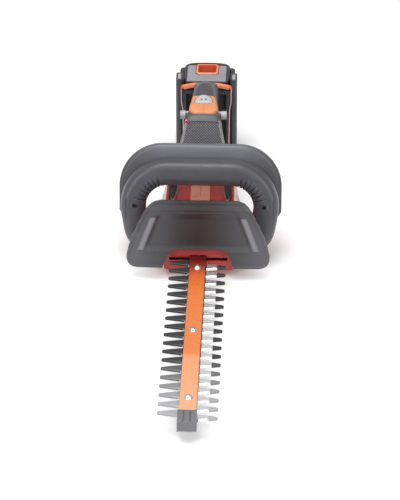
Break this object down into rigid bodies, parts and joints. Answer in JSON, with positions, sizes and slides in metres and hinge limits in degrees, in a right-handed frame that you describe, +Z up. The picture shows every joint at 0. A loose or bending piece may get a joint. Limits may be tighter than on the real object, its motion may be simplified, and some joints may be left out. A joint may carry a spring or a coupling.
{
  "type": "cordless hedge trimmer",
  "caption": "Cordless hedge trimmer with a double-sided blade, hand guard, bail front handle, closed rear handle and lift-out battery.",
  "frame": {"origin": "centre of the footprint of the whole tool, on the floor it stands on", "axes": "+Y from the blade tip to the battery, +Z up, +X to the right as seen from the blade tip end looking at the tool"},
  "size_m": [0.262, 0.958, 0.1885],
  "materials": {
    "painted_bar": "gloss",
    "blade_steel": "ground",
    "bright_steel": "bright",
    "case_alloy": "cast",
    "motor_steel": "satin",
    "winding_copper": "satin",
    "orange_shell": "gloss",
    "dark_shell": "satin",
    "black_plastic": "matte",
    "rubber_foot": "matte",
    "light_plastic": "satin",
    "white_button": "satin",
    "red_lens": "clear gloss",
    "lid_grey": "satin",
    "board_green": "satin",
    "terminal_brass": "bright",
    "cell_metal": "wrapped"
  },
  "bodies": {
    "body": {"blade_bar": "painted_bar", "guide_bar": "blade_steel", "blade_bolts": "bright_steel", "blade_sleeves": "bright_steel", "blade_nuts": "bright_steel", "tip_guard": "dark_shell", "gear_case": "case_alloy", "gear_case_lid": "case_alloy", "case_screws": "bright_steel", "crank_bearings": "bright_steel", "motor_can": "motor_steel", "motor_cap": "black_plastic", "housing_right": "orange_shell", "housing_left": "orange_shell", "housing_screws": "bright_steel", "top_spine": "orange_shell", "side_strips": "dark_shell", "sole_plate": "black_plastic", "front_foot": "rubber_foot", "guard": "dark_shell", "guard_screws": "bright_steel", "loop_bar": "dark_shell", "loop_elbows": "dark_shell", "loop_arms": "dark_shell", "loop_joiners": "black_plastic", "pivot_brackets": "black_plastic", "handle_right": "dark_shell", "handle_left": "dark_shell", "handle_screws": "bright_steel", "handle_pad": "orange_shell", "indicator_lens": "red_lens", "trigger_pin": "bright_steel", "trigger_spring": "bright_steel", "trigger_switch": "black_plastic", "control_board": "board_green", "board_parts": "black_plastic", "rear_block": "black_plastic", "side_rails": "dark_shell", "rail_caps": "light_plastic", "front_rim": "orange_shell", "rear_feet": "rubber_foot", "terminal_block": "terminal_brass"},
    "upper_blade": {"upper_blade": "blade_steel"},
    "lower_blade": {"lower_blade": "blade_steel"},
    "crank": {"crank_gear": "motor_steel"},
    "rotor": {"motor_rotor": "winding_copper"},
    "switch_bar": {"switch_bar": "dark_shell"},
    "power_button": {"power_button": "white_button"},
    "throttle_trigger": {"throttle_trigger": "black_plastic"},
    "lock_lever": {"lock_lever": "light_plastic"},
    "battery": {"battery_case": "black_plastic", "battery_lid": "lid_grey", "battery_cells": "cell_metal", "battery_tray": "black_plastic", "latch_pin": "bright_steel"},
    "battery_latch": {"battery_latch": "orange_shell"}
  },
  "joints": [
    {"name": "crank_turn", "type": "hinge", "parent": "body", "child": "crank", "pos_m": [0, 0.069, 0.043], "axis": [0, 0, 1], "range_deg": [-90, 90]},
    {"name": "motor_turn", "type": "hinge", "parent": "body", "child": "rotor", "pos_m": [0, 0.1057, 0.07], "axis": [0, 0, 1], "range_deg": [-452, 452]},
    {"name": "upper_blade_slide", "type": "slide", "parent": "body", "child": "upper_blade", "axis": [0, 1, 0], "range_m": [-0.0081, 0.0081]},
    {"name": "lower_blade_slide", "type": "slide", "parent": "body", "child": "lower_blade", "axis": [0, 1, 0], "range_m": [-0.0081, 0.0081]},
    {"name": "switch_bar_press", "type": "hinge", "parent": "body", "child": "switch_bar", "pos_m": [0, 0.10179, 0.06501], "axis": [1, 0, 0], "range_deg": [0, 1.9], "stiffness_Nm_per_rad": 30, "springref_deg": -1.15},
    {"name": "power_button_press", "type": "slide", "parent": "body", "child": "power_button", "axis": [0, 0.3502, -0.9367], "range_m": [0, 0.001], "stiffness_N_per_m": 1500, "springref_m": -0.0006},
    {"name": "trigger_pull", "type": "hinge", "parent": "body", "child": "throttle_trigger", "pos_m": [0, 0.263, 0.154], "axis": [1, 0, 0], "range_deg": [0, 8], "stiffness_Nm_per_rad": 0.8, "springref_deg": -8.59},
    {"name": "lock_lever_turn", "type": "hinge", "parent": "body", "child": "lock_lever", "pos_m": [0, 0.249, 0.163], "axis": [1, 0, 0], "range_deg": [0, 20], "stiffness_Nm_per_rad": 0.1, "springref_deg": -11.46},
    {"name": "battery_lift", "type": "slide", "parent": "body", "child": "battery", "axis": [0, 0, 1], "range_m": [0, 0.14]},
    {"name": "battery_latch_lift", "type": "hinge", "parent": "battery", "child": "battery_latch", "pos_m": [0, 0.438, 0.1256], "axis": [1, 0, 0], "range_deg": [0, 5], "stiffness_Nm_per_rad": 1, "springref_deg": -5.73}
  ],
  "couplings": [
    {"joint": "upper_blade_slide", "follows": "crank_turn", "m_per_rad": 0.005093},
    {"joint": "lower_blade_slide", "follows": "crank_turn", "m_per_rad": -0.005093},
    {"joint": "motor_turn", "follows": "crank_turn", "ratio": -5}
  ]
}
